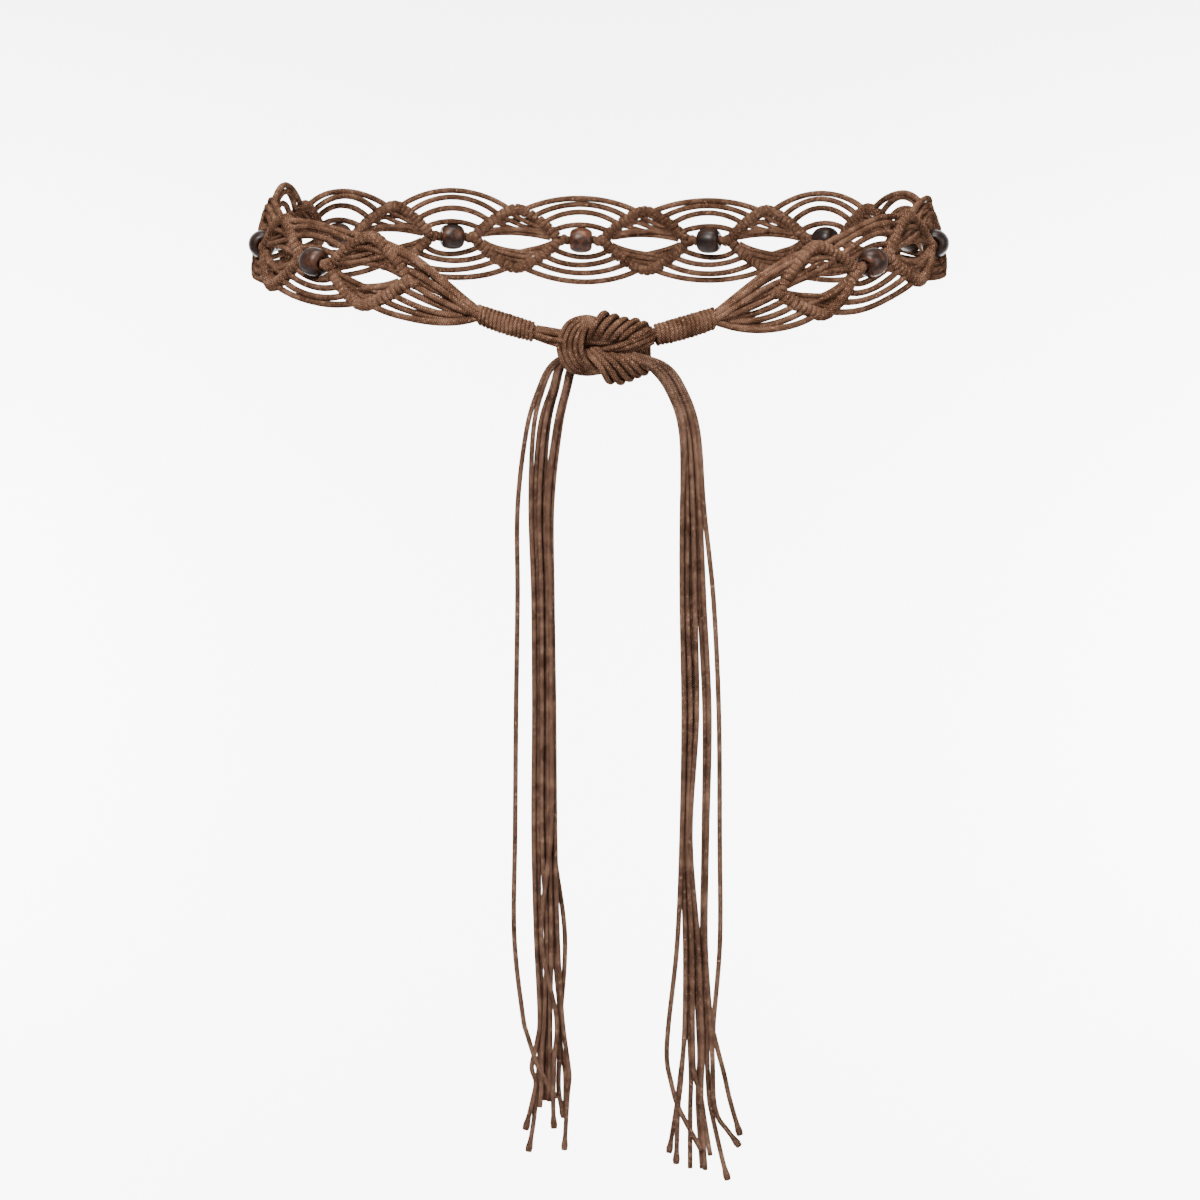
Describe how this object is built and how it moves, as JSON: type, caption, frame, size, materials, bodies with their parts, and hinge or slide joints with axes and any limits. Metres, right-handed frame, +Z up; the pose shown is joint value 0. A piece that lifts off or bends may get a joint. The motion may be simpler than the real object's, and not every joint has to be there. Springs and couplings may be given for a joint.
{
  "type": "knotted cord belt with wood beads",
  "caption": "Openwork knotted cord belt worn as a loop, with diamond motifs, drilled wood beads, a front tie knot and long hanging tails.",
  "frame": {"origin": "middle of the waist hollow, at the height of the belt's sides", "axes": "+Z up along the waist, +X to the right of a viewer who faces the knot, -Y toward that viewer"},
  "size_m": [0.2561, 0.2277, 0.3416],
  "materials": {
    "cord": "waxed braided cotton cord, satin",
    "wood": "dark stained wood, polished"
  },
  "bodies": {
    "root": {"diamond_01": "cord", "diamond_02": "cord", "diamond_03": "cord", "diamond_04": "cord", "diamond_05": "cord", "diamond_06": "cord", "diamond_07": "cord", "diamond_08": "cord", "diamond_09": "cord", "diamond_10": "cord", "diamond_11": "cord", "diamond_12": "cord", "bead_01": "wood", "bead_02": "wood", "bead_03": "wood", "bead_04": "wood", "bead_05": "wood", "bead_06": "wood", "bead_07": "wood", "bead_08": "wood", "bead_09": "wood", "bead_10": "wood", "bead_11": "wood", "left_fan": "cord", "right_fan": "cord", "left_wrap": "cord", "right_wrap": "cord", "tie_knot": "cord", "left_tail": "cord", "right_tail": "cord"}
  },
  "joints": []
}
